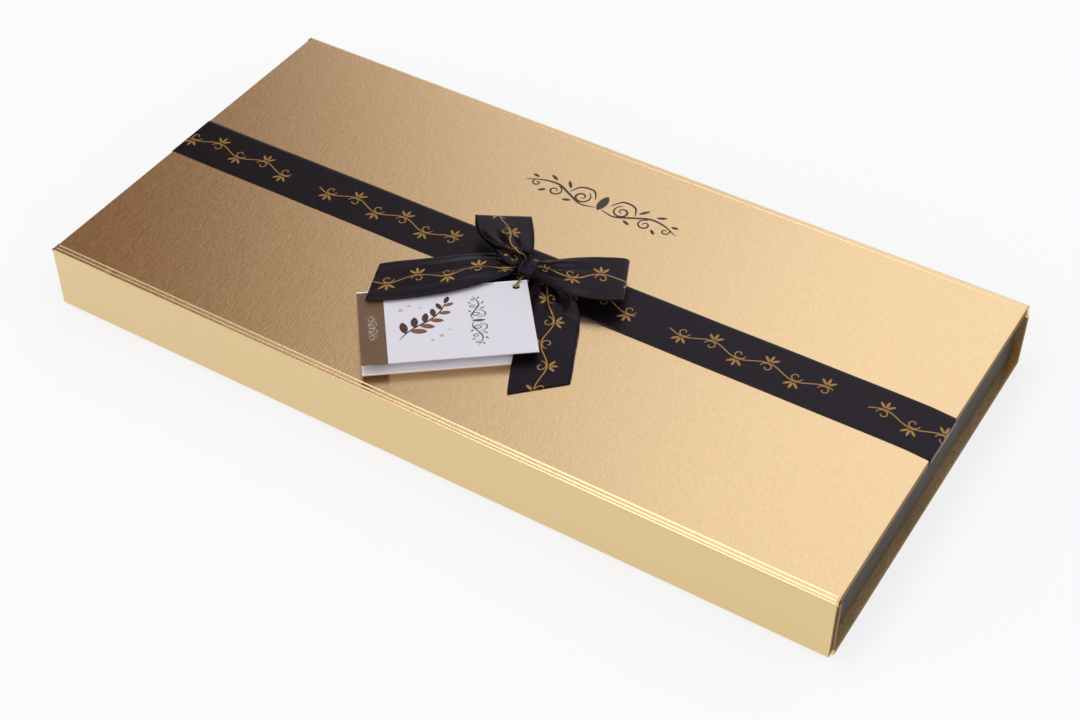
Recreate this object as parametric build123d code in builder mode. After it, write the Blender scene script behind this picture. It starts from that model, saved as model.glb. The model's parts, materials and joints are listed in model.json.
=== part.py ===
from build123d import *
import os
from math import cos, pi, radians, sin, tan

# Book-style chocolate box: a gold case with a black tray, a hinged lid with a magnetic flap, a ribbon
# band with a tied bow, a folded tag on a cord, and two thermoformed inserts full of chocolates.
# Millimetres. The origin is the middle of the base on the table. X runs along the box, +Y points to
# the spine and +Z up.

os.makedirs("parts", exist_ok=True)

# Overall box
case_length = 354.0
overall_depth = 176.8
box_height = 30.0
paper = 0.2
overrun = 5.0

# Case boards
base_thickness = 3.0
wall_thickness = 2.0
edge_radius = 0.8
wall_end_setback = 0.8
turn_in = 15.0
rim_gap = 0.2

# Lid
lid_end_setback = 1.2
lid_thickness = 3.0
lid_far_setback = 1.0
lining_margin = 2.5

# Flap and its creased hinge
flap_thickness = 2.0
flap_gap = 0.3
flap_span = 3.56
flap_top_drop = 1.1
flap_foot_gap = 0.5

# Lid hinge paper
hinge_bulge = 2.0
hinge_paper_drop = 8.0
bulge_drop_share = 1.6
over_middle_shares = (0.55, 0.5)
paper_turn_share = 0.7

# Tray
tray_end_setback = 3.4
tray_wall = 2.2
tray_floor = 1.5

# Magnets in the flap and steel discs in the front wall
magnet_diameter = 12.0
magnet_thickness = 1.0
disc_thickness = 0.6
magnet_spacing = 120.0
magnet_count = 3
magnet_drop = 11.0

# Thermoformed inserts
insert_gap = 0.3
insert_sheet = 0.4
insert_height = 14.3
cell_length = 34.0
cell_depth = 32.5
cavity_length = 29.6
cavity_depth = 28.6
cavity_drop = 13.5
cavity_radius = 6.0
cavity_taper = 6

# Chocolates
square_size = 24.0
square_height = 11.0
dome_radius = 12.2
dome_height = 12.5
dome_rim = 3.5
bar_length = 25.0
bar_depth = 16.0
bar_height = 10.0
bar_ridge = 3.2
heart_lobe = 6.6
heart_height = 11.5
fluted_radius = 9.6
flute_radius = 2.6
flute_count = 12
fluted_height = 12.0
truffle_radius = 11.6
truffle_flat = 2.6
oval_length = 25.6
oval_depth = 18.0
oval_height = 11.0
pyramid_size = 23.0
pyramid_top = 9.0
pyramid_height = 12.0
choc_edge = 1.4
choc_lift = 1.2
choc_taper = 8
mark_share = 0.7
dome_shoulder_shares = (0.72, 0.7)
bar_ridge_count = 3
bar_ridge_step_share = 1.9
bar_ridge_turn = 70
heart_lobe_shares = (0.72, 0.4)
heart_point_share = 0.45
heart_square_share = 1.9
oval_mark_count = 4
oval_mark_share = 0.6
oval_mark_turn = -20
oval_edge_share = 1.5

# Pad under the lid
pad_end_margin = 5.4
pad_side_margin = 6.05
pad_thickness = 2.5
pad_corner = 8.0
pad_edge_share = 0.8

# Ribbon
ribbon_width = 25.0
ribbon_thickness = 0.3
band_y = 1.66
band_skew = 0.455
band_tuck = 12.0
bow_thickness = 0.4

# Bow
knot_x = -2.2
knot_y = 0.0
knot_heading = 8.0
knot_length = 7.6
knot_depth = 7.2
knot_height = 6.2
knot_corner = 2.6
knot_gap = 0.1
knot_shares = ((-0.5, 0.86), (0, 1), (0.5, 0.86))

loop_left_reach = 29.3
loop_left_heading = 142.6
loop_left_rise = 8.8
loop_right_reach = 40.4
loop_right_heading = 16.1
loop_right_rise = 8.4
tail_left_reach = 62.6
tail_left_heading = 220.4
tail_left_rise = 4.4
tail_right_reach = 66.8
tail_right_heading = -55.0
tail_right_rise = 3.4

# Each rung of a ribbon is its place forward and sideways as shares of the reach, its height as a share
# of the rise, its width as a share of the ribbon's width, its turn from the heading and its tilt.
loop_left_shares = (
    (0.095, 0.096, 0.60, 0.22, 45, 0),
    (0.180, 0.115, 0.76, 0.36, 12, 0),
    (0.286, 0.098, 0.90, 0.57, -22, 0),
    (0.588, 0.085, 1.00, 0.84, -21, 0),
    (0.880, 0.020, 0.94, 0.92, -23, 0),
    (0.985, 0.004, 0.87, 0.92, -23, 0),
    (1.000, 0.000, 0.79, 0.92, -23, 0),
    (0.985, 0.004, 0.71, 0.92, -23, 0),
    (0.880, 0.020, 0.66, 0.92, -23, 0),
    (0.588, 0.085, 0.64, 0.84, -21, 0),
    (0.286, 0.098, 0.60, 0.57, -22, 0),
    (0.180, 0.115, 0.54, 0.36, 12, 0),
    (0.095, 0.096, 0.47, 0.22, 45, 0),
)
loop_right_shares = (
    (0.101, -0.013, 0.62, 0.22, -8, 0),
    (0.160, -0.050, 0.78, 0.32, 8, 0),
    (0.260, -0.071, 0.92, 0.43, 15, 0),
    (0.539, -0.052, 1.00, 0.76, 15, 0),
    (0.880, -0.010, 0.88, 0.93, 9, 0),
    (0.988, -0.001, 0.80, 0.94, 8, 0),
    (1.000, 0.000, 0.70, 0.94, 8, 0),
    (0.988, -0.001, 0.60, 0.94, 8, 0),
    (0.880, -0.010, 0.54, 0.93, 9, 0),
    (0.539, -0.052, 0.56, 0.76, 15, 0),
    (0.260, -0.071, 0.58, 0.43, 15, 0),
    (0.160, -0.050, 0.55, 0.32, 8, 0),
    (0.101, -0.013, 0.49, 0.22, -8, 0),
)
tail_left_shares = (
    (0.057, -0.034, 0.50, 0.22, -32, 0),
    (0.107, -0.017, 0.66, 0.45, -25, 0),
    (0.265, 0.008, 0.95, 0.88, -20, 0),
    (0.571, 0.016, 1.00, 0.92, -6, 0),
    (0.850, 0.006, 1.00, 0.92, -8, 0),
    (1.000, 0.000, 1.00, 0.90, -20, 0),
)
tail_right_shares = (
    (0.031, 0.056, 0.50, 0.22, 63, 0),
    (0.113, 0.070, 0.70, 0.34, 20, 4),
    (0.189, 0.100, 0.94, 0.52, -15, 8),
    (0.293, 0.118, 1.00, 0.80, -20, 8),
    (0.426, 0.102, 0.54, 0.94, -10, 1),
    (0.720, 0.050, 0.33, 0.94, -10, 0),
    (0.980, 0.004, 0.15, 0.98, 10, 0),
)

# Tag, placed by the end of its fold that hangs on the cord
tag_x = 0.49
tag_y = -5.66
tag_heading = 38.1
tag_length = 67.7
tag_width = 44.6
leaf_thickness = 0.4
leaf_gap = 0.2
fold_lift = 1.5
back_leaf_angle = 1.9
front_leaf_angle = 3.8
leaf_clearance = 0.15
hole_diameter = 3.2
hole_from_end = 4.65
hole_from_fold = 3.7

# Tag cord, a limp thread: round behind the knot, through it, down through both leaves and back
cord_diameter = 0.8
cord_gap = 0.1
cord_route = (
    (0.60, 2.60, 32.00),
    (0.50, 4.90, 32.20),
    (-1.20, 6.30, 32.50),
    (-3.20, 6.20, 32.80),
    (-4.40, 4.60, 33.00),
    (-1.60, -3.20, 32.40),
    (-1.45, -6.70, 33.60),
    (-1.00, -11.45, 33.55),
    (-0.95, -11.55, 30.80),
    (0.20, -8.00, 30.86),
    (0.90, -5.20, 31.20),
    (0.00, -3.10, 32.20),
)
corner_share = 0.45

# Places worked out from the sizes above
case_x = case_length / 2
lid_x = case_x - lid_end_setback
front_y = -overall_depth / 2
spine_y = overall_depth / 2 - hinge_bulge
wall_y = front_y + flap_thickness + flap_gap
wall_inner_y = wall_y + wall_thickness
wall_x = case_x - wall_end_setback
spine_inner_y = spine_y - wall_thickness
lid_near_y = front_y + flap_span
lid_far_y = spine_y - lid_far_setback
lid_under_z = box_height - lid_thickness
rim_z = lid_under_z - rim_gap
tray_x = case_x - tray_end_setback
tray_inner_x = tray_x - tray_wall
tray_near_y = wall_inner_y + tray_wall
tray_far_y = spine_inner_y - tray_wall
wall_foot_z = base_thickness - paper
floor_z = base_thickness + tray_floor + paper
flap_inner_y = front_y + flap_thickness
flap_top_z = box_height - flap_top_drop
band_top_z = box_height + ribbon_thickness
magnet_places = [(i - (magnet_count - 1) / 2) * magnet_spacing for i in range(magnet_count)]
magnet_z = flap_top_z - magnet_drop


def slab(x, y, z, mode=Mode.ADD):
    """Box between the low and high values of each axis."""
    middle = ((x[0] + x[1]) / 2, (y[0] + y[1]) / 2, (z[0] + z[1]) / 2)
    with Locations(middle):
        Box(x[1] - x[0], y[1] - y[0], z[1] - z[0], mode=mode)


def both(half):
    """Low and high value, the same distance each side of the middle."""
    return (-half, half)


def keep(builder, name):
    """Label a finished piece and write it to its own file."""
    builder.part.label = name
    export_step(builder.part, f"parts/{name}.step")


# Base, front wall and spine boards of the case
with BuildPart() as base_board:
    slab(both(case_x - paper), (wall_y + paper, spine_y - paper), (paper, base_thickness - paper))
    fillet(base_board.edges().filter_by(Axis.Y).group_by(Axis.Z)[0], edge_radius - paper)
keep(base_board, "base_board")

with BuildPart() as base_wrap:
    slab(both(case_x), (wall_y, spine_y), (0, base_thickness))
    fillet(base_wrap.edges().filter_by(Axis.Y).group_by(Axis.Z)[0], edge_radius)
    add(base_board.part, mode=Mode.SUBTRACT)
    slab(
        both(case_x - turn_in),
        (wall_y + paper, spine_y - paper),
        (paper, base_thickness + overrun),
        Mode.SUBTRACT,
    )
    for x, y in ((wall_x, (wall_y, wall_inner_y)), (case_x + overrun, (spine_inner_y, spine_y))):
        slab(both(x), y, (wall_foot_z, base_thickness), Mode.SUBTRACT)
keep(base_wrap, "base_wrap")

with BuildPart() as front_wall_board:
    slab(both(wall_x - paper), (wall_y + paper, wall_inner_y - paper), (wall_foot_z, rim_z - paper))
    with BuildSketch(Plane((0, wall_y + paper, magnet_z), x_dir=(1, 0, 0), z_dir=(0, 1, 0))):
        with Locations(*[(x, 0) for x in magnet_places]):
            Circle(magnet_diameter / 2)
    extrude(amount=disc_thickness, mode=Mode.SUBTRACT)
keep(front_wall_board, "front_wall_board")

with BuildPart() as front_wall_discs:
    with BuildSketch(Plane((0, wall_y + paper, magnet_z), x_dir=(1, 0, 0), z_dir=(0, 1, 0))):
        with Locations(*[(x, 0) for x in magnet_places]):
            Circle(magnet_diameter / 2)
    extrude(amount=disc_thickness)
keep(front_wall_discs, "front_wall_discs")

with BuildPart() as front_wall_wrap:
    slab(both(wall_x), (wall_y, wall_inner_y), (wall_foot_z, rim_z))
    fillet(front_wall_wrap.edges().filter_by(Axis.X).group_by(Axis.Z)[-1].sort_by(Axis.Y)[0], paper)
    slab(
        both(wall_x - paper),
        (wall_y + paper, wall_inner_y - paper),
        (wall_foot_z, rim_z - paper),
        Mode.SUBTRACT,
    )
keep(front_wall_wrap, "front_wall_wrap")

with BuildPart() as spine_board:
    slab(both(case_x - paper), (spine_inner_y + paper, spine_y - paper), (wall_foot_z, rim_z - paper))
keep(spine_board, "spine_board")

hinge_foot_z = rim_z - hinge_paper_drop
with BuildPart() as spine_wrap:
    slab(both(case_x), (spine_inner_y, spine_y), (wall_foot_z, rim_z))
    slab(
        both(case_x - paper),
        (spine_inner_y + paper, spine_y - paper),
        (wall_foot_z, rim_z - paper),
        Mode.SUBTRACT,
    )
    slab(both(case_x + overrun), (spine_y - paper, spine_y), (hinge_foot_z, rim_z + overrun), Mode.SUBTRACT)
keep(spine_wrap, "spine_wrap")

# Black tray: a floor board and four wall boards, their paper over the rim and the floor paper
tray_board_x = (tray_inner_x + paper, tray_x - paper)
tray_wall_z = (base_thickness + tray_floor, rim_z - paper)
tray_boards = {
    "tray_floor_board": (
        both(tray_board_x[-1]),
        (wall_inner_y + paper, spine_inner_y - paper),
        (base_thickness, base_thickness + tray_floor),
    ),
    "tray_near_board": (both(tray_board_x[-1]), (wall_inner_y + paper, tray_near_y - paper), tray_wall_z),
    "tray_far_board": (both(tray_board_x[-1]), (tray_far_y + paper, spine_inner_y - paper), tray_wall_z),
    "tray_left_board": (
        (-tray_board_x[-1], -tray_board_x[0]),
        (tray_near_y - paper, tray_far_y + paper),
        tray_wall_z,
    ),
    "tray_right_board": (tray_board_x, (tray_near_y - paper, tray_far_y + paper), tray_wall_z),
}
with BuildPart() as tray_wrap:
    slab(both(tray_x), (wall_inner_y, spine_inner_y), (base_thickness, rim_z))
    fillet(tray_wrap.edges().group_by(Axis.Z)[-1], paper / 2)
    for name, (x, y, z) in tray_boards.items():
        with BuildPart() as tray_piece:
            slab(x, y, z)
        keep(tray_piece, name)
        slab(x, y, z, Mode.SUBTRACT)
    slab(both(tray_inner_x), (tray_near_y, tray_far_y), (base_thickness, rim_z + overrun), Mode.SUBTRACT)
keep(tray_wrap, "tray_wrap")

with BuildPart() as tray_lining:
    slab(both(tray_inner_x), (tray_near_y, tray_far_y), (base_thickness + tray_floor, floor_z))
keep(tray_lining, "tray_lining")

# Inserts: one sheet each, with a deck, a skirt and tapered cavities
insert_x = tray_inner_x - insert_gap
insert_near_y = tray_near_y + insert_gap
insert_far_y = tray_far_y - insert_gap
insert_length = insert_x - insert_gap / 2
deck_z = floor_z + insert_height
insert_depth = insert_far_y - insert_near_y
cavity_columns = int(insert_length / cell_length)
cavity_rows = int(insert_depth / cell_depth)
pitch_x = insert_length / cavity_columns
pitch_y = insert_depth / cavity_rows
insert_mid_x = (insert_x + insert_gap / 2) / 2
insert_mid_y = (insert_near_y + insert_far_y) / 2


def insert(side):
    """One thermoformed insert, on the left (-1) or the right (1) half of the tray."""
    near = side * insert_gap / 2
    far = side * insert_x
    x = (min(near, far), max(near, far))
    top = Plane((side * insert_mid_x, insert_mid_y, deck_z))
    with BuildPart() as sheet:
        slab(x, (insert_near_y, insert_far_y), (floor_z, deck_z))
        fillet(sheet.edges().filter_by(Axis.Z), choc_edge)
        slab(
            (x[0] + insert_sheet, x[1] - insert_sheet),
            (insert_near_y + insert_sheet, insert_far_y - insert_sheet),
            (floor_z - overrun, deck_z - insert_sheet),
            Mode.SUBTRACT,
        )
        with BuildSketch(top):
            with GridLocations(pitch_x, pitch_y, cavity_columns, cavity_rows):
                RectangleRounded(
                    cavity_length + 2 * insert_sheet,
                    cavity_depth + 2 * insert_sheet,
                    cavity_radius + insert_sheet,
                )
        extrude(amount=-(cavity_drop + insert_sheet), taper=cavity_taper)
        with BuildSketch(top):
            with GridLocations(pitch_x, pitch_y, cavity_columns, cavity_rows):
                RectangleRounded(cavity_length, cavity_depth, cavity_radius)
        extrude(amount=-cavity_drop, taper=cavity_taper, mode=Mode.SUBTRACT)
    return sheet


keep(insert(-1), "insert_left")
keep(insert(1), "insert_right")

# Chocolates, each made once on its own and then set in its cavities
seat_z = deck_z - cavity_drop

with BuildPart() as square_choc:
    with BuildSketch():
        RectangleRounded(square_size, square_size, choc_edge * 2)
    extrude(amount=square_height, taper=choc_taper)
    fillet(square_choc.faces().sort_by(Axis.Z)[-1].edges(), choc_edge)
    with BuildSketch(Plane.XY.offset(square_height - choc_edge)):
        for turn in (-45, 45):
            Rectangle(square_size * mark_share, choc_lift, rotation=turn)
    extrude(amount=choc_edge + choc_lift / 2)

with BuildPart() as dome_choc:
    with BuildSketch(Plane.XZ):
        with BuildLine():
            Line((0, 0), (dome_radius, 0))
            Line((dome_radius, 0), (dome_radius, dome_rim))
            ThreePointArc(
                (dome_radius, dome_rim),
                (
                    dome_radius * dome_shoulder_shares[0],
                    dome_rim + (dome_height - dome_rim) * dome_shoulder_shares[1],
                ),
                (0, dome_height),
            )
            Line((0, dome_height), (0, 0))
        make_face()
    revolve(axis=Axis.Z)
    with Locations((0, 0, dome_height - choc_lift / 2)):
        Cylinder(dome_radius / 3, choc_lift * 2)

with BuildPart() as bar_choc:
    with BuildSketch():
        RectangleRounded(bar_length, bar_depth, choc_edge * 2)
    extrude(amount=bar_height, taper=choc_taper)
    fillet(bar_choc.faces().sort_by(Axis.Z)[-1].edges(), choc_edge)
    with BuildSketch(Plane.XY.offset(bar_height - choc_edge)):
        with GridLocations(bar_ridge * bar_ridge_step_share, 0, bar_ridge_count, 1):
            SlotOverall(bar_depth * mark_share, bar_ridge, rotation=bar_ridge_turn)
    extrude(amount=choc_edge + choc_lift)

with BuildPart() as heart_choc:
    with BuildSketch():
        for side in (-1, 1):
            with Locations((side * heart_lobe * heart_lobe_shares[0], heart_lobe * heart_lobe_shares[1])):
                Circle(heart_lobe)
        with Locations((0, -heart_lobe * heart_point_share)):
            Rectangle(heart_lobe * heart_square_share, heart_lobe * heart_square_share, rotation=45)
    extrude(amount=heart_height, taper=choc_taper)

with BuildPart() as fluted_choc:
    with BuildSketch():
        Circle(fluted_radius)
        with PolarLocations(fluted_radius, flute_count):
            Circle(flute_radius)
    extrude(amount=fluted_height)
    with Locations((0, 0, fluted_height)):
        Cone(fluted_radius, fluted_radius / 2, choc_lift * 2)

with BuildPart() as truffle_choc:
    with Locations((0, 0, truffle_radius - truffle_flat)):
        Sphere(truffle_radius)
    split(bisect_by=Plane.XY, keep=Keep.TOP)
    split(bisect_by=Plane.XY.offset(square_height + choc_lift * 2), keep=Keep.BOTTOM)

with BuildPart() as oval_choc:
    with BuildSketch():
        SlotOverall(oval_length, oval_depth)
    extrude(amount=oval_height, taper=choc_taper)
    fillet(oval_choc.faces().sort_by(Axis.Z)[-1].edges(), choc_edge * oval_edge_share)
    with BuildSketch(Plane.XY.offset(oval_height - choc_edge)):
        with GridLocations(oval_length / (oval_mark_count + 1), 0, oval_mark_count, 1):
            Rectangle(choc_lift, oval_depth * oval_mark_share, rotation=oval_mark_turn)
    extrude(amount=choc_edge + choc_lift / 2)

with BuildPart() as pyramid_choc:
    with BuildSketch():
        RectangleRounded(pyramid_size, pyramid_size, choc_edge)
    with BuildSketch(Plane.XY.offset(pyramid_height)):
        RectangleRounded(pyramid_top, pyramid_top, choc_edge)
    loft()

kinds = {
    "chocolate_squares": square_choc,
    "chocolate_domes": dome_choc,
    "chocolate_bars": bar_choc,
    "chocolate_hearts": heart_choc,
    "chocolate_fluted_cups": fluted_choc,
    "chocolate_truffles": truffle_choc,
    "chocolate_ovals": oval_choc,
    "chocolate_pyramids": pyramid_choc,
}


def cells(kind):
    """Seats of one kind of chocolate: the kinds step along each row and shift from row to row."""
    seats = []
    for side in (-1, 1):
        for column in range(cavity_columns):
            for row in range(cavity_rows):
                if (column + 3 * row + (side + 1) * 2) % len(kinds) == kind:
                    x = side * insert_mid_x + (column - (cavity_columns - 1) / 2) * pitch_x
                    y = insert_mid_y + (row - (cavity_rows - 1) / 2) * pitch_y
                    seats.append((x, y, seat_z))
    return seats


for kind, (name, master) in enumerate(kinds.items()):
    with BuildPart() as chocolates:
        with Locations(*cells(kind)):
            add(master.part)
    keep(chocolates, name)

# Lid: board, gold paper, lining and pad, with the ribbon band glued round it
with BuildPart() as lid_form:
    slab(both(lid_x), (lid_near_y, lid_far_y), (lid_under_z, box_height))
    fillet(lid_form.edges().filter_by(Axis.Y).group_by(Axis.Z)[-1], edge_radius)

with BuildPart() as lid_board:
    slab(
        both(lid_x - paper),
        (lid_near_y, lid_far_y),
        (lid_under_z + 2 * paper, box_height - paper),
    )
    fillet(lid_board.edges().filter_by(Axis.Y).group_by(Axis.Z)[-1], edge_radius - paper)
keep(lid_board, "lid_board")

band_slope = tan(radians(band_skew))
band_end = lid_x + overrun
tuck_z = lid_under_z + ribbon_thickness
with BuildPart() as ribbon_band:
    slab(both(lid_x + ribbon_thickness), (lid_near_y, lid_far_y), (lid_under_z, band_top_z))
    fillet(
        ribbon_band.edges().filter_by(Axis.Y).group_by(Axis.Z)[-1],
        edge_radius + ribbon_thickness,
    )
    add(lid_form.part, mode=Mode.SUBTRACT)
    for side in (-1, 1):
        tuck_x = sorted((side * (lid_x - band_tuck), side * (lid_x + ribbon_thickness)))
        slab(tuck_x, (lid_near_y, lid_far_y), (lid_under_z, tuck_z))
    with BuildSketch():
        with Locations((0, band_y)):
            Polygon(
                (-band_end, -ribbon_width / 2 - band_slope * band_end),
                (band_end, -ribbon_width / 2 + band_slope * band_end),
                (band_end, ribbon_width / 2 + band_slope * band_end),
                (-band_end, ribbon_width / 2 - band_slope * band_end),
                align=None,
            )
    extrude(amount=band_top_z + overrun, mode=Mode.INTERSECT)
keep(ribbon_band, "ribbon_band")

with BuildPart() as lid_wrap:
    add(lid_form.part)
    add(lid_board.part, mode=Mode.SUBTRACT)
    slab(
        both(lid_x - turn_in),
        (lid_near_y, lid_far_y),
        (lid_under_z - overrun, lid_under_z + 2 * paper),
        Mode.SUBTRACT,
    )
    slab(
        both(lid_x + overrun),
        (lid_near_y, lid_far_y),
        (lid_under_z - overrun, lid_under_z + paper),
        Mode.SUBTRACT,
    )
    add(ribbon_band.part, mode=Mode.SUBTRACT)
keep(lid_wrap, "lid_wrap")

lining_x = lid_x - lining_margin
with BuildPart() as lid_lining:
    slab(
        both(lining_x),
        (lid_near_y + lining_margin / 2, lid_far_y - lining_margin / 2),
        (lid_under_z, lid_under_z + paper),
    )
    slab(
        both(lid_x - turn_in),
        (lid_near_y + lining_margin / 2, lid_far_y - lining_margin / 2),
        (lid_under_z + paper, lid_under_z + 2 * paper),
    )
    add(ribbon_band.part, mode=Mode.SUBTRACT)
keep(lid_lining, "lid_lining")

pad_y = (tray_near_y + tray_far_y) / 2
with BuildPart() as lid_pad:
    with BuildSketch(Plane.XY.offset(lid_under_z)):
        with Locations((0, pad_y)):
            RectangleRounded(
                2 * (tray_inner_x - pad_end_margin),
                tray_far_y - tray_near_y - 2 * pad_side_margin,
                pad_corner,
            )
    extrude(amount=-pad_thickness)
    fillet(lid_pad.faces().sort_by(Axis.Z)[0].edges(), pad_thickness * pad_edge_share)
keep(lid_pad, "lid_pad")

# Paper hinge of the lid: from the lid's far edge round the bulge to the spine
bulge_y = spine_y + hinge_bulge
bulge_z = box_height - hinge_bulge * bulge_drop_share
middle_y = spine_y + hinge_bulge * over_middle_shares[0]
over_middle = Vector(middle_y, box_height - hinge_bulge * over_middle_shares[1])
under_middle = Vector(middle_y, (bulge_z + hinge_foot_z) / 2)
with BuildPart() as lid_hinge_strip:
    with BuildSketch(Plane.YZ):
        with BuildLine():
            ThreePointArc((lid_far_y, box_height), over_middle, (bulge_y, bulge_z))
            ThreePointArc((bulge_y, bulge_z), under_middle, (spine_y, hinge_foot_z))
            Line((spine_y, hinge_foot_z), (spine_y - paper, hinge_foot_z))
            ThreePointArc(
                (spine_y - paper, hinge_foot_z),
                under_middle - Vector(paper, 0),
                (bulge_y - paper, bulge_z),
            )
            ThreePointArc(
                (bulge_y - paper, bulge_z),
                over_middle - Vector(paper, paper) * paper_turn_share,
                (lid_far_y, box_height - paper),
            )
            Line((lid_far_y, box_height - paper), (lid_far_y, box_height))
        make_face()
    extrude(amount=case_x - paper, both=True)
keep(lid_hinge_strip, "lid_hinge_strip")

# Flap: board, gold paper, lining and magnets
flap_board_inner_y = flap_inner_y - 2 * paper
with BuildPart() as flap_board:
    slab(
        both(lid_x - paper),
        (front_y + paper, flap_board_inner_y),
        (flap_foot_gap + paper, flap_top_z),
    )
    fillet(flap_board.edges().filter_by(Axis.X).group_by(Axis.Z)[0].sort_by(Axis.Y)[0], paper)
    with BuildSketch(Plane((0, flap_board_inner_y, magnet_z), x_dir=(1, 0, 0), z_dir=(0, -1, 0))):
        with Locations(*[(x, 0) for x in magnet_places]):
            Circle(magnet_diameter / 2)
    extrude(amount=magnet_thickness, mode=Mode.SUBTRACT)
keep(flap_board, "flap_board")

with BuildPart() as flap_magnets:
    with BuildSketch(Plane((0, flap_board_inner_y, magnet_z), x_dir=(1, 0, 0), z_dir=(0, -1, 0))):
        with Locations(*[(x, 0) for x in magnet_places]):
            Circle(magnet_diameter / 2)
    extrude(amount=magnet_thickness)
keep(flap_magnets, "flap_magnets")

with BuildPart() as flap_wrap:
    slab(both(lid_x), (front_y, flap_inner_y - paper), (flap_foot_gap, flap_top_z))
    fillet(flap_wrap.edges().filter_by(Axis.X).group_by(Axis.Z)[0].sort_by(Axis.Y)[0], 2 * paper)
    add(flap_board.part, mode=Mode.SUBTRACT)
    add(flap_magnets.part, mode=Mode.SUBTRACT)
    slab(
        both(lid_x - turn_in),
        (flap_board_inner_y, flap_inner_y),
        (flap_foot_gap + turn_in, flap_top_z + overrun),
        Mode.SUBTRACT,
    )
keep(flap_wrap, "flap_wrap")

with BuildPart() as flap_lining:
    slab(
        both(lining_x),
        (flap_inner_y - paper, flap_inner_y),
        (flap_foot_gap + lining_margin, flap_top_z),
    )
    slab(
        both(lid_x - turn_in),
        (flap_board_inner_y, flap_inner_y - paper),
        (flap_foot_gap + turn_in, flap_top_z),
    )
keep(flap_lining, "flap_lining")

# Creased paper between the lid and the flap: heights as shares of the flap's top drop
crease_shares = ((0.0, 0.0), (0.24, 0.42), (0.50, 0.10), (0.74, 0.48), (0.93, 0.55), (1.0, 1.0))
crease = [
    (lid_near_y - flap_span * along, box_height - flap_top_drop * down)
    for along, down in crease_shares
]
crease_back = [(y + paper, z - paper) for y, z in crease[-2:0:-1]]
with BuildPart() as flap_hinge_strip:
    with BuildSketch(Plane.YZ):
        Polygon(
            *crease,
            (front_y + paper, flap_top_z),
            *crease_back,
            (lid_near_y, box_height - paper),
            align=None,
        )
    extrude(amount=lid_x - paper, both=True)
keep(flap_hinge_strip, "flap_hinge_strip")

# Tag cord: straight runs joined by arcs, as large as the runs beside each corner allow
route = [Vector(*point) for point in cord_route]
radii = []
for before, corner, after in zip(route, route[1:], route[2:]):
    turn = (corner - before).get_angle(after - corner)
    shorter = min((corner - before).length, (after - corner).length)
    radii.append(corner_share * shorter / tan(radians(turn) / 2))
print("tag cord radii", [round(r, 2) for r in radii])

with BuildPart() as tag_cord:
    with BuildLine() as cord_path:
        FilletPolyline(*route, radius=radii)
    with BuildSketch(Plane(cord_path.line @ 0, z_dir=cord_path.line % 0)):
        Circle(cord_diameter / 2)
    sweep(path=cord_path.line)
keep(tag_cord, "tag_cord")
cord_length = cord_path.wire().length
section = pi * (cord_diameter / 2) ** 2
cord_volume_share = tag_cord.part.volume / (section * cord_length)
print("tag cord length", round(cord_length, 2), "volume share", round(cord_volume_share, 4))

# Bow: a gathered knot on the band, with the cord's way through it, two loops and two tails
knot_z = band_top_z + knot_gap + knot_height / 2
knot_axis = Vector(cos(radians(knot_heading)), sin(radians(knot_heading)), 0)
with BuildPart() as bow_knot:
    for offset_share, size_share in knot_shares:
        middle = Vector(knot_x, knot_y, knot_z) + knot_axis * (knot_length * offset_share)
        with BuildSketch(Plane(middle, x_dir=(knot_axis.Y, -knot_axis.X, 0), z_dir=knot_axis)):
            RectangleRounded(knot_depth * size_share, knot_height * size_share, knot_corner)
    loft()
    with BuildSketch(Plane(cord_path.line @ 0, z_dir=cord_path.line % 0)):
        Circle(cord_diameter / 2 + cord_gap)
    sweep(path=cord_path.line, mode=Mode.SUBTRACT)
keep(bow_knot, "bow_knot")


def ribbon(heading, reach, rise, shares, name):
    """A piece of the bow: a thin lofted strip through its rungs, from the knot outwards."""
    forward = Vector(cos(radians(heading)), sin(radians(heading)), 0)
    left = Vector(-forward.Y, forward.X, 0)
    centres = []
    for ahead, aside, up, *_ in shares:
        place = Vector(knot_x, knot_y, box_height + rise * up)
        centres.append(place + forward * (reach * ahead) + left * (reach * aside))
    with BuildPart() as strip:
        befores = [centres[0], *centres]
        afters = [*centres[1:], centres[-1]]
        for rung, before, centre, after in zip(shares, befores, centres, afters):
            width, turn, tilt = rung[-3:]
            across = left.rotate(Axis.Z, turn)
            across = across * cos(radians(tilt)) + Vector(0, 0, sin(radians(tilt)))
            normal = (after - before).cross(across).normalized()
            with BuildSketch(Plane(centre, x_dir=across, z_dir=across.cross(normal))):
                Rectangle(ribbon_width * width, bow_thickness)
        loft(ruled=True)
    keep(strip, name)


ribbon(loop_left_heading, loop_left_reach, loop_left_rise, loop_left_shares, "bow_loop_left")
ribbon(loop_right_heading, loop_right_reach, loop_right_rise, loop_right_shares, "bow_loop_right")
ribbon(tail_left_heading, tail_left_reach, tail_left_rise, tail_left_shares, "bow_tail_left")
ribbon(tail_right_heading, tail_right_reach, tail_right_rise, tail_right_shares, "bow_tail_right")

# Tag: two leaves of one card, folded along the upper long edge round a small roll
roll_radius = leaf_thickness + leaf_gap / 2
fold_z = box_height + fold_lift + roll_radius
fold_axis = Vector(cos(radians(tag_heading)), sin(radians(tag_heading)), 0)
leaf_way = Vector(fold_axis.Y, -fold_axis.X, 0)
fold_place = Vector(tag_x, tag_y, fold_z)
hole_place = (-hole_from_end, -hole_from_fold)


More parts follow.
